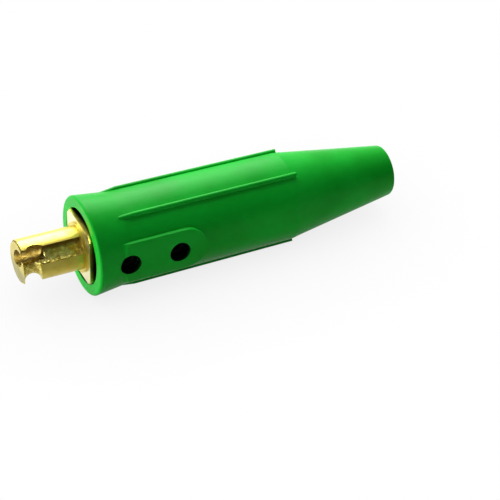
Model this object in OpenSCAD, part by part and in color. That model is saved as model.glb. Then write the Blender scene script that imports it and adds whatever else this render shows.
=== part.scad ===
// Welding cable plug: a brass contact body clamped to the cable by two set screws,
// inside a ribbed moulded insulating sleeve. The plug lies on its side, tip towards -X.
// The origin is on the axis, at the shoulder where the contact pin leaves its collar.

/* [Insulating sleeve] */
// Length of the sleeve from the front rim to the cable end
sleeve_l = 127.5; // [118:0.5:145]
// Diameter of the front rim
rim_d = 38; // [37:0.5:42]
// Length of the conical collar behind the rim
collar_l = 13; // [10:0.5:17]
// Diameter of the barrel where the front collar ends
barrel_front_d = 35; // [34:0.1:36]
// Diameter of the barrel where the neck starts
barrel_rear_d = 34.2; // [33.6:0.1:35]
// Distance from the rim to the start of the neck
neck_start = 83.5; // [78:0.5:95]
// Diameter of the neck just behind the barrel
neck_front_d = 33; // [31.6:0.1:33.4]
// Length of the slope from the barrel down to the neck
neck_slope_l = 3.2; // [1:0.2:5]
// Diameter of the neck at the cable end
neck_rear_d = 20.2; // [18.6:0.1:24]
// Edge rounding of the front rim
rim_round = 0.9; // [0.4:0.1:1.4]
// Edge rounding of the cable end
tail_round = 0.8; // [0.4:0.1:1]

/* [Sleeve bore] */
// Diameter of the bore that holds the brass body
body_bore_d = 28.9; // [28.8:0.1:30]
// Chamfer at the mouth of the body bore
mouth_chamfer = 0.4; // [0.2:0.1:0.8]
// Diameter of the cable entry
cable_entry_d = 15.6; // [14:0.1:16.4]
// Length of the straight cable entry
cable_entry_l = 34; // [20:1:45]
// Diameter of the cable space just behind the brass body
cable_space_d = 21; // [18:0.5:24]

/* [Ribs] */
// Number of equal spaces round the barrel, one of them taken by the screw pad
rib_spaces = 6; // [5:1:8]
// Width of a rib
rib_w = 2; // [1.4:0.1:2.6]
// Height of a rib above the barrel
rib_h = 1.1; // [0.6:0.1:1.6]
// Distance from the rim to the point where the ribs rise out of the barrel
rib_start = 8; // [6:0.5:12]
// Length over which a rib rises to its full height
rib_fade = 9; // [5:0.5:15]
// How far a rib reaches down into the wall of the barrel
rib_root = 1; // [0.6:0.1:1.2]

/* [Screw pad] */
// Height of the raised pad above the barrel, along its middle line
pad_h = 0.5; // [0.3:0.1:1]
// Width of the pad across the barrel
pad_w = 17; // [14:0.5:19]
// Diameter of the crowned face of the pad, which is flatter than the barrel
pad_crown_d = 54; // [46:1:80]
// Distance from the rim to the round rear end of the pad
pad_l = 43.2; // [42:0.2:50]
// Distance from the rim to the point where the pad rises out of the barrel
pad_start = 9; // [7:0.5:12]
// Length over which the pad rises to its full height
pad_fade = 5; // [3:0.5:8]
// Diameter of the access holes in the sleeve
access_d = 8; // [6:0.1:9]
// Distance from the rim to the front access hole
screw_front = 12.2; // [12:0.2:15]
// Distance between the two screws
screw_pitch = 19.6; // [16:0.1:20]

/* [Brass body] */
// Width of the square brass body across its flats
body_af = 21.8; // [20.6:0.1:22.4]
// Diameter that the corners of the body are turned to
body_corner_d = 28.6; // [27:0.1:28.7]
// How far the body's front face stands proud of the rim
body_proud = 1; // [0.4:0.1:2]
// Length of the square body
body_l = 46; // [42:0.5:50]
// Diameter of the cable bore
cable_bore_d = 13; // [11:0.1:13.6]
// Thickness of the solid web between the cable bore and the pin
web_t = 6; // [4:0.5:8]
// Diameter of the round collar at the root of the pin
collar_d = 19.2; // [17.4:0.1:20.4]
// Height of the collar in front of the body's face
collar_h = 0.8; // [0.4:0.1:1.6]
// Edge chamfer of the body
body_chamfer = 0.4; // [0.2:0.1:0.8]

/* [Contact pin] */
// Diameter of the contact pin
pin_d = 16.6; // [15.6:0.1:17]
// Length of the pin in front of its collar
pin_l = 22.8; // [22.6:0.1:26]
// Diameter of the round channel along the side of the pin
channel_d = 7; // [5.8:0.1:7.4]
// Depth of the channel below the pin's surface
channel_depth = 3; // [2.2:0.1:3.4]
// Direction of the channel, up from the side with the screws
channel_turn = 40; // [30:1:60]
// Diameter of the lead-in that the channel has at the tip
lead_d = 6.4; // [6:0.1:7.4]
// Distance from the middle of the channel up to the middle of the lead-in
lead_shift = 1.3; // [0.6:0.1:1.6]
// Depth of the lead-in at the tip, below the pin's surface
lead_depth = 12; // [5:0.5:12.5]
// Slope of the lead-in's floor
lead_slope = 50; // [35:1:60]
// Distance from the collar to the middle of the cam groove, on the axis
groove_x = 18.8; // [18:0.1:19]
// Width of the cam groove at the pin's surface
groove_w = 6.6; // [6.4:0.1:7.2]
// Depth of the cam groove
groove_depth = 3.2; // [2.6:0.1:3.2]
// Angle that the cam groove runs round the pin, from the channel
groove_sweep = 165; // [120:5:200]
// Tilt of the groove, which starts nearer the tip and draws the pin in as it turns
groove_tilt = 10; // [4:0.5:16]
// Edge chamfer at the tip of the pin
tip_chamfer = 0.6; // [0.3:0.1:1]

/* [Set screws] */
// Thread diameter of the set screws
screw_d = 7.94; // [7:0.01:8]
// Length of a set screw
screw_l = 7; // [6:0.1:7.5]
// Width across flats of the key socket
socket_af = 3.97; // [3:0.01:4.2]
// Depth of the key socket
socket_depth = 3.4; // [2:0.1:4]
// Height of the conical point
point_h = 1.4; // [0.8:0.1:2]
// Diameter of the flat at the tip of the point
point_d = 4.4; // [2:0.1:6]
// Radial clearance of a screw in its hole
screw_clearance = 0.05; // [0.03:0.01:0.08]

/* [Hidden] */
$fn = 96;
// Overlap that keeps cuts and unions clean
eps = 0.05;
body_front = collar_h;
rim_x = body_front + body_proud;
body_rear = body_front + body_l;
tail_x = rim_x + sleeve_l;
barrel_x = rim_x + collar_l;
neck_x = rim_x + neck_start;
// Axial clearance between the body and the shoulder in the sleeve
seat_gap = 0.2;
space_x = body_rear + seat_gap;
entry_x = tail_x - cable_entry_l;
rib_angle = 360 / rib_spaces;
rib_full_x = rim_x + rib_start + rib_fade;
rib_top = barrel_front_d / 2 + rib_h;
rib_rear_top = barrel_rear_d / 2 + rib_h;
rib_rear_x = neck_x;
screw_x = [rim_x + screw_front, rim_x + screw_front + screw_pitch];
// Radius at which the set screws are tangent to the wall of the cable bore
screw_tip = cable_bore_d / 2;
groove_r = (pow(groove_w / 2, 2) + pow(groove_depth, 2)) / (2 * groove_depth);

// Turns a shape made round Z so that its axis lies along +X
module along_x() {
    rotate([0, 90, 0]) children();
}

// Cylinder along X between two stations
module round_x(x0, x1, d0, d1) {
    translate([x0, 0, 0]) along_x() cylinder(h = x1 - x0, d1 = d0, d2 = d1);
}

// Puts a shape that was made along +Z on the side with the screws
module to_screw_side(x) {
    translate([x, 0, 0]) rotate([90, 0, 0]) children();
}

function corner_arc(cx, cy, r, a0, a1, n = 6) =
    [for (i = [0 : n]) let (a = a0 + (a1 - a0) * i / n) [cx + r * cos(a), cy + r * sin(a)]];

// Half section of the sleeve: radius across, distance along the axis upwards
module sleeve_profile() {
    polygon(concat(
        [[0, rim_x]],
        corner_arc(rim_d / 2 - rim_round, rim_x + rim_round, rim_round, -90, 0),
        [[barrel_front_d / 2, barrel_x],
         [barrel_rear_d / 2, neck_x - neck_slope_l / 2],
         [neck_front_d / 2, neck_x + neck_slope_l / 2]],
        corner_arc(neck_rear_d / 2 - tail_round, tail_x - tail_round, tail_round, 0, 90),
        [[0, tail_x]]));
}

// Straight bar along +X, rounded on top, with its crest at the origin
module rib_bar(len, width) {
    r = width / 2;
    rotate([90, 0, 90]) linear_extrude(len) {
        translate([-r, -rib_h - rib_root]) square([width, rib_h + rib_root - r]);
        translate([0, -r]) circle(r = r);
    }
}

// Rib on the +Z side: it follows the barrel, rises out of it at the front and has a round rear end
module rib() {
    fall = atan((rib_top - rib_rear_top) / (rib_rear_x - rib_full_x));
    rise = atan(rib_h / rib_fade);
    bar_l = rib_rear_x - rib_full_x;
    translate([rib_full_x, 0, rib_top]) {
        rotate([0, fall, 0]) intersection() {
            rib_bar(bar_l + rib_w, rib_w);
            union() {
                translate([-rib_w, -rib_w, -rim_d / 2]) cube([bar_l, 2 * rib_w, rim_d]);
                translate([bar_l - rib_w, 0, -rim_d / 2]) cylinder(h = rim_d, r = rib_w);
            }
        }
        translate([0, 0, -eps]) rotate([0, -rise, 0])
            translate([-rib_fade, 0, 0]) rib_bar(rib_fade + 2 * eps, rib_w - 2 * eps);
    }
}

// Stadium outline of the pad, open towards the rim
module pad_outline() {
    r = pad_w / 2;
    translate([rim_x + pad_start, -r]) square([pad_l - pad_start - r, pad_w]);
    translate([rim_x + pad_l - r, 0]) circle(d = pad_w);
}

// Raised pad round the access holes: a crowned face that rises out of the collar at the front
module screw_pad() {
    crown_y = pad_crown_d / 2 - barrel_front_d / 2 - pad_h;
    full_x = rim_x + pad_start + pad_fade;
    intersection() {
        rotate([90, 0, 0]) linear_extrude(rim_d) pad_outline();
        translate([0, crown_y, 0]) round_x(rim_x, neck_x, pad_crown_d, pad_crown_d);
        union() {
            round_x(rim_x + pad_start, full_x, barrel_front_d, rim_d + 2 * pad_h);
            round_x(full_x, neck_x, rim_d + 2 * pad_h, rim_d + 2 * pad_h);
        }
    }
}

module insulating_sleeve() {
    color("green") difference() {
        union() {
            rotate([0, 90, 0]) rotate_extrude() sleeve_profile();
            for (i = [1 : rib_spaces - 1]) rotate([90 - i * rib_angle, 0, 0]) rib();
            screw_pad();
        }
        round_x(rim_x - eps, space_x, body_bore_d, body_bore_d);
        round_x(rim_x - eps, rim_x + mouth_chamfer, body_bore_d + 2 * mouth_chamfer, body_bore_d);
        round_x(space_x - eps, entry_x, cable_space_d, cable_entry_d);
        round_x(entry_x - eps, tail_x + eps, cable_entry_d, cable_entry_d);
        for (x = screw_x) to_screw_side(x) cylinder(h = rim_d, d = access_d);
    }
}

// Square bar whose corners are turned down, with a chamfer at both ends
module square_body() {
    intersection() {
        translate([body_front, -body_af / 2, -body_af / 2]) cube([body_l, body_af, body_af]);
        union() {
            round_x(body_front, body_front + body_chamfer, body_corner_d - 2 * body_chamfer, body_corner_d);
            round_x(body_front + body_chamfer, body_rear - body_chamfer, body_corner_d, body_corner_d);
            round_x(body_rear - body_chamfer, body_rear, body_corner_d, body_corner_d - 2 * body_chamfer);
        }
    }
}

module contact_pin() {
    round_x(-pin_l, -pin_l + tip_chamfer, pin_d - 2 * tip_chamfer, pin_d);
    round_x(-pin_l + tip_chamfer, eps, pin_d, pin_d);
}

// Round-bottomed channel that lets the cross pin of the mating socket pass
module pin_channel() {
    rotate([90 - channel_turn, 0, 0])
        translate([0, 0, pin_d / 2 - channel_depth + channel_d / 2])
            round_x(-pin_l - eps, 0, channel_d, channel_d);
}

// Lead-in of the channel: the same cutter, tilted so that it is deepest at the tip
module channel_lead() {
    rotate([90 - channel_turn, 0, 0]) translate([-pin_l, lead_shift, pin_d / 2 - lead_depth])
        rotate([0, -lead_slope, 0]) translate([0, 0, lead_d / 2])
            round_x(-pin_d, pin_d, lead_d, lead_d);
}

// Cam groove that runs round the pin from the channel and draws the connectors together
module cam_groove() {
    ring_r = pin_d / 2 - groove_depth + groove_r;
    rotate([90 - channel_turn, 0, 0]) translate([-groove_x, 0, 0])
        rotate([0, -groove_tilt, 0]) along_x() rotate([0, 0, 180])
            rotate_extrude(angle = groove_sweep) translate([ring_r, 0]) circle(r = groove_r);
}

module brass_body() {
    color("gold") difference() {
        union() {
            square_body();
            round_x(0, body_front + eps, collar_d, collar_d);
            contact_pin();
        }
        pin_channel();
        channel_lead();
        cam_groove();
        round_x(body_front + web_t, body_rear + eps, cable_bore_d, cable_bore_d);
        for (x = screw_x) to_screw_side(x) cylinder(h = body_af, d = screw_d + 2 * screw_clearance);
    }
}

// Set screw with a conical point and a key socket, made along +Z from its tip
module set_screw() {
    difference() {
        union() {
            cylinder(h = point_h, d1 = point_d, d2 = screw_d);
            translate([0, 0, point_h]) cylinder(h = screw_l - point_h, d = screw_d);
        }
        translate([0, 0, screw_l - socket_depth])
            cylinder(h = socket_depth + eps, d = socket_af / cos(30), $fn = 6);
    }
}

module front_set_screw() {
    color("dimgray") to_screw_side(screw_x[0]) translate([0, 0, screw_tip]) set_screw();
}

module rear_set_screw() {
    color("dimgray") to_screw_side(screw_x[1]) translate([0, 0, screw_tip]) set_screw();
}

insulating_sleeve();
brass_body();
front_set_screw();
rear_set_screw();
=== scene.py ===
import math

import bpy
from mathutils import Matrix, Vector

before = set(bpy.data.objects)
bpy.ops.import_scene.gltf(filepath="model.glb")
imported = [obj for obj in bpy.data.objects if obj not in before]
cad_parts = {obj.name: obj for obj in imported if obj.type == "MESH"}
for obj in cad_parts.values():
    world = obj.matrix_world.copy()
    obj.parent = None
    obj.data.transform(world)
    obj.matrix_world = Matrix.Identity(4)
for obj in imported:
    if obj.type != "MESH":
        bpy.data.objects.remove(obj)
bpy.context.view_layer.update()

MM = 0.001

# Camera fitted to the photograph, in a frame with its origin on the axis at the rim of the sleeve
FIT_AZ = -26.46
FIT_EL = 31.63
FIT_ROLL = -0.19
FIT_FOCAL_PX = 1684.77
FIT_DEPTH = 617.55 * MM
FIT_U0, FIT_V0 = 81.21, 246.15
IMAGE_PX = 500
# Turn of the plug about its axis between that frame and the CAD frame, and the rim's place
PLUG_TURN = 5.5
RIM_X = 1.8 * MM
RIM_R = 19.0 * MM
# The plug lies on its rim and on the lower rear edge of its barrel, between two ribs
REST_RIM_X = 2.7 * MM
REST_REAR_X = 83.7 * MM
REST_REAR_Z = -17.1 * MM
# Bore of the sleeve and its two access holes, with the depth over which daylight fades in a hole
BORE_R = 14.45 * MM
BORE_END = 47.0 * MM
ACCESS_R = 4.0 * MM
SCREW_X = (14.0 * MM, 33.6 * MM)
ACCESS_LIT_Y = -18.5 * MM
ACCESS_DARK_Y = -16.0 * MM
# Contact pin, the rear end of its lead-in and the way up from the screws to its channel
PIN_R = 8.3 * MM
PIN_TIP_X = -22.8 * MM
LEAD_X = -14.0 * MM
CHANNEL_ANGLE = math.radians(40.0)

# Colours as linear red, green, blue and alpha
GREEN = (0.003, 0.52, 0.030, 1.0)
DEEP_GREEN = (0.002, 0.42, 0.018, 1.0)
PALE_GREEN = (0.02, 0.57, 0.06, 1.0)
UNLIT_GREEN = (0.003, 0.020, 0.005, 1.0)
BRIGHT_BRASS = (0.82, 0.68, 0.13, 1.0)
WARM_BRASS = (0.68, 0.54, 0.08, 1.0)
STAINED_BRASS = (0.42, 0.33, 0.05, 1.0)
# Painted reflection for the pale front face of the square body
FACE_REFLECTION_BRASS = (0.95, 0.89, 0.50, 1.0)
# Painted shade for the end of the pin
END_SHADE_BRASS = (0.34, 0.30, 0.06, 1.0)
DULL_CUT_BRASS = (0.66, 0.50, 0.08, 1.0)
# Painted highlight for the bright part of the milled cuts
CUT_HIGHLIGHT_BRASS = (1.0, 0.92, 0.30, 1.0)
# Painted shade for the roofs of the milled cuts
ROOF_SHADE_BROWN = (0.16, 0.09, 0.012, 1.0)
UNLIT_BRASS = (0.07, 0.05, 0.014, 1.0)
BLACK_OXIDE = (0.012, 0.012, 0.014, 1.0)
WORN_OXIDE = (0.035, 0.032, 0.030, 1.0)
FLOOR_WHITE = (0.74, 0.74, 0.74, 1.0)
ROOM_WHITE = (1.0, 1.0, 1.0, 1.0)

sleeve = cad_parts["insulating_sleeve"]
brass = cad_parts["brass_body"]
screws = [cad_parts["front_set_screw"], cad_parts["rear_set_screw"]]


class Nodes:
    """Small builder for one node material."""

    def __init__(self, name):
        self.mat = bpy.data.materials.new(name)
        self.mat.use_nodes = True
        self.tree = self.mat.node_tree
        self.tree.nodes.clear()
        self.out = self.add("ShaderNodeOutputMaterial")
        self.bsdf = self.add("ShaderNodeBsdfPrincipled")
        self.link(self.bsdf.outputs["BSDF"], self.out.inputs["Surface"])
        self.pos = self.add("ShaderNodeTexCoord").outputs["Object"]

    def add(self, kind, **props):
        node = self.tree.nodes.new(kind)
        for key, value in props.items():
            setattr(node, key, value)
        return node

    def link(self, a, b):
        self.tree.links.new(a, b)

    def put(self, socket, value):
        if isinstance(value, bpy.types.NodeSocket):
            self.link(value, socket)
        else:
            socket.default_value = value

    def math(self, op, a, b=0.0):
        node = self.add("ShaderNodeMath", operation=op)
        self.put(node.inputs[0], a)
        self.put(node.inputs[1], b)
        return node.outputs[0]

    def times(self, *factors):
        product = factors[0]
        for factor in factors[1:]:
            product = self.math("MULTIPLY", product, factor)
        return product

    def distance(self, a, b):
        """Length of the vector whose two parts are a and b."""
        return self.math("SQRT", self.math("ADD", self.times(a, a), self.times(b, b)))

    def noise(self, scale, detail, rough, stretch=None):
        vector = self.pos
        if stretch:
            mapping = self.add("ShaderNodeMapping")
            self.link(vector, mapping.inputs["Vector"])
            mapping.inputs["Scale"].default_value = stretch
            vector = mapping.outputs["Vector"]
        node = self.add("ShaderNodeTexNoise")
        self.link(vector, node.inputs["Vector"])
        node.inputs["Scale"].default_value = scale
        node.inputs["Detail"].default_value = detail
        node.inputs["Roughness"].default_value = rough
        return node.outputs["Fac"]

    def spread(self, value, lo, hi, out_lo=0.0, out_hi=1.0, smooth=True):
        """Map lo..hi to out_lo..out_hi; lo may lie above hi."""
        node = self.add("ShaderNodeMapRange")
        if smooth:
            node.interpolation_type = "SMOOTHSTEP"
        self.put(node.inputs["Value"], value)
        node.inputs["From Min"].default_value = lo
        node.inputs["From Max"].default_value = hi
        node.inputs["To Min"].default_value = out_lo
        node.inputs["To Max"].default_value = out_hi
        return node.outputs["Result"]

    def mix(self, fac, a, b):
        # Inputs 6 and 7 and output 2 are the colours of a mix node
        node = self.add("ShaderNodeMix", data_type="RGBA")
        self.put(node.inputs[0], fac)
        self.put(node.inputs[6], a)
        self.put(node.inputs[7], b)
        return node.outputs[2]

    def xyz(self, vector=None):
        node = self.add("ShaderNodeSeparateXYZ")
        self.link(vector or self.pos, node.inputs["Vector"])
        return node.outputs["X"], node.outputs["Y"], node.outputs["Z"]

    def normal_xyz(self):
        return self.xyz(self.add("ShaderNodeTexCoord").outputs["Normal"])

    def bump(self, height, strength, distance, normal=None):
        node = self.add("ShaderNodeBump")
        self.put(node.inputs["Height"], height)
        node.inputs["Strength"].default_value = strength
        node.inputs["Distance"].default_value = distance
        if normal is not None:
            self.link(normal, node.inputs["Normal"])
        return node.outputs["Normal"]


def sleeve_walls(n):
    """Mask of the unlit walls of the sleeve's bore and of its access holes."""
    x, y, z = n.xyz()
    walls = n.times(
        n.spread(n.distance(y, z), BORE_R + 0.25 * MM, BORE_R + 0.05 * MM),
        n.spread(x, BORE_END, BORE_END - MM))
    for screw_x in SCREW_X:
        reach = n.distance(n.math("SUBTRACT", x, screw_x), z)
        in_hole = n.times(
            n.spread(reach, ACCESS_R + 0.12 * MM, ACCESS_R + 0.04 * MM),
            n.spread(y, 0.0, -MM),
            n.spread(y, ACCESS_LIT_Y, ACCESS_DARK_Y, 0.86, 1.0))
        walls = n.math("MAXIMUM", walls, in_hole)
    return walls


def sleeve_material():
    n = Nodes("moulded_green")
    cloud = n.noise(38.0, 5.0, 0.55)
    fine = n.noise(900.0, 3.0, 0.6)
    grain = n.noise(3200.0, 2.0, 0.5)
    waves = n.noise(70.0, 3.0, 0.5, stretch=(0.4, 1.0, 1.0))
    colour = n.mix(n.spread(cloud, 0.35, 0.65), DEEP_GREEN, GREEN)
    colour = n.mix(n.spread(fine, 0.62, 0.8, 0.0, 0.12), colour, PALE_GREEN)
    colour = n.mix(sleeve_walls(n), colour, UNLIT_GREEN)
    n.put(n.bsdf.inputs["Base Color"], colour)
    n.put(n.bsdf.inputs["Roughness"], n.spread(cloud, 0.3, 0.7, 0.34, 0.44))
    n.bsdf.inputs["Specular IOR Level"].default_value = 0.11
    normal = n.bump(waves, 0.25, 0.6 * MM)
    normal = n.bump(fine, 0.12, 0.1 * MM, normal)
    normal = n.bump(grain, 0.08, 0.04 * MM, normal)
    n.link(normal, n.bsdf.inputs["Normal"])
    return n.mat


def milled_cuts(n, x, y, z):
    """Mask of the channel, its lead-in and the cam groove, below the turned surface of the pin."""
    return n.times(
        n.spread(n.distance(y, z), PIN_R - 0.08 * MM, PIN_R - 0.3 * MM),
        n.spread(x, 0.2 * MM, -0.2 * MM),
        n.spread(x, PIN_TIP_X + 0.02 * MM, PIN_TIP_X + 0.1 * MM))


def painted_roof_shade(n, x, y, z, nx, nz, milled):
    """Mask of the roofs of the channel and of all of its lead-in, which are painted brown as painted shade.
    """
    upward = n.math("ADD", n.times(y, math.sin(CHANNEL_ANGLE)), n.times(z, math.cos(CHANNEL_ANGLE)))
    lead_in = n.times(
        n.spread(x, LEAD_X + 0.5 * MM, LEAD_X - 0.5 * MM),
        n.spread(nz, 0.98, 0.72, 0.0, 0.95))
    shade = n.math("MAXIMUM", n.spread(nz, 0.50, -0.05), n.spread(nx, -0.45, -0.70, 0.0, 0.8))
    shade = n.math("MAXIMUM", shade, lead_in)
    return n.times(milled, n.spread(upward, -2.2 * MM, -1.0 * MM), shade, 0.92)


def brass_material():
    n = Nodes("machined_brass")
    cloud = n.noise(55.0, 6.0, 0.6)
    stain = n.noise(210.0, 5.0, 0.65)
    fine = n.noise(1500.0, 3.0, 0.6)
    turned_rings = n.noise(1.0, 3.0, 0.6, stretch=(6500.0, 60.0, 60.0))
    cutter_marks = n.noise(620.0, 4.0, 0.6)
    dents = n.noise(380.0, 3.0, 0.55)
    x, y, z = n.xyz()
    nx, ny, nz = n.normal_xyz()
    milled = milled_cuts(n, x, y, z)
    roofs = painted_roof_shade(n, x, y, z, nx, nz, milled)

    colour = n.mix(n.spread(cloud, 0.38, 0.62), BRIGHT_BRASS, WARM_BRASS)
    colour = n.mix(n.spread(stain, 0.55, 0.75, 0.0, 0.5), colour, STAINED_BRASS)
    # The front of the square body is painted paler, a painted reflection of the bright room
    facing_front = n.spread(nx, -0.90, -0.99)
    colour = n.mix(n.times(facing_front, n.spread(x, 0.0, 0.5 * MM)), colour, FACE_REFLECTION_BRASS)
    # The end of the pin is painted darker, most towards its bottom, as painted shade
    pin_end_shade = n.times(facing_front, n.spread(x, -0.5 * MM, -MM), n.spread(z, 0.0, -4.0 * MM, 0.35, 1.0))
    colour = n.mix(pin_end_shade, colour, END_SHADE_BRASS)
    # The milled cuts are painted with a mottle of dull marks and bright brass, the bright being a painted
    # highlight for the light the cuts catch
    mottle_and_highlight = n.mix(n.spread(cutter_marks, 0.42, 0.58), DULL_CUT_BRASS, CUT_HIGHLIGHT_BRASS)
    colour = n.mix(n.times(milled, 0.85), colour, mottle_and_highlight)
    # The roofs of the cuts are painted brown, as painted shade
    colour = n.mix(roofs, colour, ROOF_SHADE_BROWN)
    # Behind its front face the square body sits in the dark of the sleeve
    colour = n.mix(n.spread(x, 1.6 * MM, 3.0 * MM, 0.0, 0.9), colour, UNLIT_BRASS)
    n.put(n.bsdf.inputs["Base Color"], colour)

    n.bsdf.inputs["Metallic"].default_value = 1.0
    rough = n.math("ADD", n.spread(stain, 0.4, 0.7, 0.30, 0.44), n.times(n.math("SUBTRACT", fine, 0.5), 0.12))
    rough = n.math("ADD", rough, n.times(milled, n.spread(nz, 0.45, 0.75, 0.18, 0.02)))
    n.put(n.bsdf.inputs["Roughness"], rough)
    normal = n.bump(n.times(dents, milled, n.spread(roofs, 0.0, 0.8, 1.0, 0.3)), 0.9, 1.8 * MM)
    normal = n.bump(turned_rings, 0.16, 0.06 * MM, normal)
    normal = n.bump(fine, 0.10, 0.06 * MM, normal)
    n.link(normal, n.bsdf.inputs["Normal"])
    return n.mat


def screw_material():
    n = Nodes("black_oxide_steel")
    cloud = n.noise(260.0, 5.0, 0.6)
    fine = n.noise(2600.0, 3.0, 0.6)
    n.put(n.bsdf.inputs["Base Color"], n.mix(n.spread(cloud, 0.35, 0.7), BLACK_OXIDE, WORN_OXIDE))
    n.bsdf.inputs["Metallic"].default_value = 0.85
    n.put(n.bsdf.inputs["Roughness"], n.spread(cloud, 0.3, 0.7, 0.38, 0.58))
    n.link(n.bump(fine, 0.25, 0.05 * MM), n.bsdf.inputs["Normal"])
    return n.mat


def set_material(obj, mat):
    obj.data.materials.clear()
    obj.data.materials.append(mat)


def turned(v):
    """A vector of the fit's frame in the CAD frame."""
    t = math.radians(PLUG_TURN)
    return Vector((v[0], v[1] * math.cos(t) + v[2] * math.sin(t), v[2] * math.cos(t) - v[1] * math.sin(t)))


def add_camera():
    """Place the camera that the fit found."""
    az, el, roll = (math.radians(v) for v in (FIT_AZ, FIT_EL, FIT_ROLL))
    forward = Vector((-math.sin(az) * math.cos(el), math.cos(az) * math.cos(el), -math.sin(el)))
    level_right = Vector((math.cos(az), math.sin(az), 0.0))
    level_above = Vector((-math.sin(az) * math.sin(el), math.cos(az) * math.sin(el), math.cos(el)))
    right = level_right * math.cos(roll) + level_above * math.sin(roll)
    above = level_above * math.cos(roll) - level_right * math.sin(roll)
    half = IMAGE_PX / 2
    to_rim = forward + right * (FIT_U0 - half) / FIT_FOCAL_PX + above * (half - FIT_V0) / FIT_FOCAL_PX
    place = turned(-to_rim * FIT_DEPTH) + Vector((RIM_X, 0.0, 0.0))
    forward, right, above = turned(forward), turned(right), turned(above)

    data = bpy.data.cameras.new("camera")
    data.angle = 2 * math.atan(half / FIT_FOCAL_PX)
    data.clip_start = 10 * MM
    camera = bpy.data.objects.new("camera", data)
    bpy.context.collection.objects.link(camera)
    camera.matrix_world = Matrix((
        (right.x, above.x, -forward.x, place.x),
        (right.y, above.y, -forward.y, place.y),
        (right.z, above.z, -forward.z, place.z),
        (0.0, 0.0, 0.0, 1.0)))
    bpy.context.scene.camera = camera


def floor_material():
    """White for the camera and in the metal, with the shadow of what lies close, and diffuse for the rest."""
    n = Nodes("white_floor")
    n.bsdf.inputs["Base Color"].default_value = FLOOR_WHITE
    n.bsdf.inputs["Roughness"].default_value = 0.8
    ray = n.add("ShaderNodeLightPath")
    near = n.add("ShaderNodeAmbientOcclusion", samples=16)
    near.inputs["Distance"].default_value = 50 * MM
    shadow_seen = n.spread(near.outputs["AO"], 0.0, 1.0, 0.80, 1.0, smooth=False)
    shadow_mirrored = n.spread(near.outputs["AO"], 0.2, 1.0, 0.75, 1.0, smooth=False)
    # What the metal mirrors is bright behind the plug and dim on the side of the camera
    across = n.xyz()[1]
    shadow_mirrored = n.times(shadow_mirrored, n.spread(across, -40 * MM, 30 * MM, 0.35, 1.3))
    glow = n.add("ShaderNodeEmission")
    n.put(glow.inputs["Strength"], n.mix(ray.outputs["Is Camera Ray"], shadow_mirrored, shadow_seen))
    seen = n.math("MAXIMUM", ray.outputs["Is Camera Ray"], ray.outputs["Is Glossy Ray"])
    seen = n.math("MAXIMUM", seen, ray.outputs["Is Transmission Ray"])
    blend = n.add("ShaderNodeMixShader")
    n.link(seen, blend.inputs["Fac"])
    n.link(n.bsdf.outputs["BSDF"], blend.inputs[1])
    n.link(glow.outputs["Emission"], blend.inputs[2])
    n.link(blend.outputs["Shader"], n.out.inputs["Surface"])
    return n.mat


def add_floor():
    """A plain floor through the two places that the plug rests on."""
    slope = math.atan2(REST_REAR_Z + RIM_R, REST_REAR_X - REST_RIM_X)
    bpy.ops.mesh.primitive_plane_add(size=6.0)
    floor = bpy.context.object
    floor.name = "floor"
    floor.rotation_euler = (0.0, -slope, 0.0)
    floor.location = (REST_RIM_X, 0.0, -RIM_R)
    floor.data.materials.append(floor_material())


def add_world():
    """A room that is bright behind and above the plug and dim on the side of the camera."""
    world = bpy.data.worlds.new("world")
    bpy.context.scene.world = world
    world.use_nodes = True
    nodes, links = world.node_tree.nodes, world.node_tree.links
    nodes.clear()
    output = nodes.new("ShaderNodeOutputWorld")
    background = nodes.new("ShaderNodeBackground")
    background.inputs["Color"].default_value = ROOM_WHITE
    links.new(background.outputs["Background"], output.inputs["Surface"])
    direction = nodes.new("ShaderNodeTexCoord")
    facing = nodes.new("ShaderNodeVectorMath")
    facing.operation = "DOT_PRODUCT"
    facing.inputs[1].default_value = (0.20, 0.78, 0.59)
    ramp = nodes.new("ShaderNodeMapRange")
    ramp.interpolation_type = "SMOOTHSTEP"
    ramp.inputs["From Min"].default_value = 0.0
    ramp.inputs["From Max"].default_value = 0.85
    ramp.inputs["To Min"].default_value = 0.055
    ramp.inputs["To Max"].default_value = 0.55
    links.new(direction.outputs["Generated"], facing.inputs[0])
    links.new(facing.outputs["Value"], ramp.inputs["Value"])
    # The camera itself sees a plain white room
    ray = nodes.new("ShaderNodeLightPath")
    seen = nodes.new("ShaderNodeMath")
    seen.operation = "MAXIMUM"
    links.new(ramp.outputs["Result"], seen.inputs[0])
    links.new(ray.outputs["Is Camera Ray"], seen.inputs[1])
    links.new(seen.outputs[0], background.inputs["Strength"])


def add_lamp(name, where, target, size, power):
    data = bpy.data.lights.new(name, "AREA")
    data.energy = power
    data.size = size
    lamp = bpy.data.objects.new(name, data)
    bpy.context.collection.objects.link(lamp)
    lamp.location = where
    lamp.rotation_euler = (Vector(target) - Vector(where)).to_track_quat("-Z", "Y").to_euler()


set_material(sleeve, sleeve_material())
set_material(brass, brass_material())
steel = screw_material()
for screw in screws:
    set_material(screw, steel)

add_camera()
add_floor()
add_world()
add_lamp("key", where=(0.12, 0.49, 0.48), target=(0.05, 0.0, 0.0), size=0.60, power=7.2)
add_lamp("low", where=(-0.38, -0.03, 0.00), target=(0.0, 0.0, -0.01), size=0.10, power=1.3)

scene = bpy.context.scene
scene.view_settings.view_transform = "Standard"
scene.render.resolution_x = IMAGE_PX
scene.render.resolution_y = IMAGE_PX
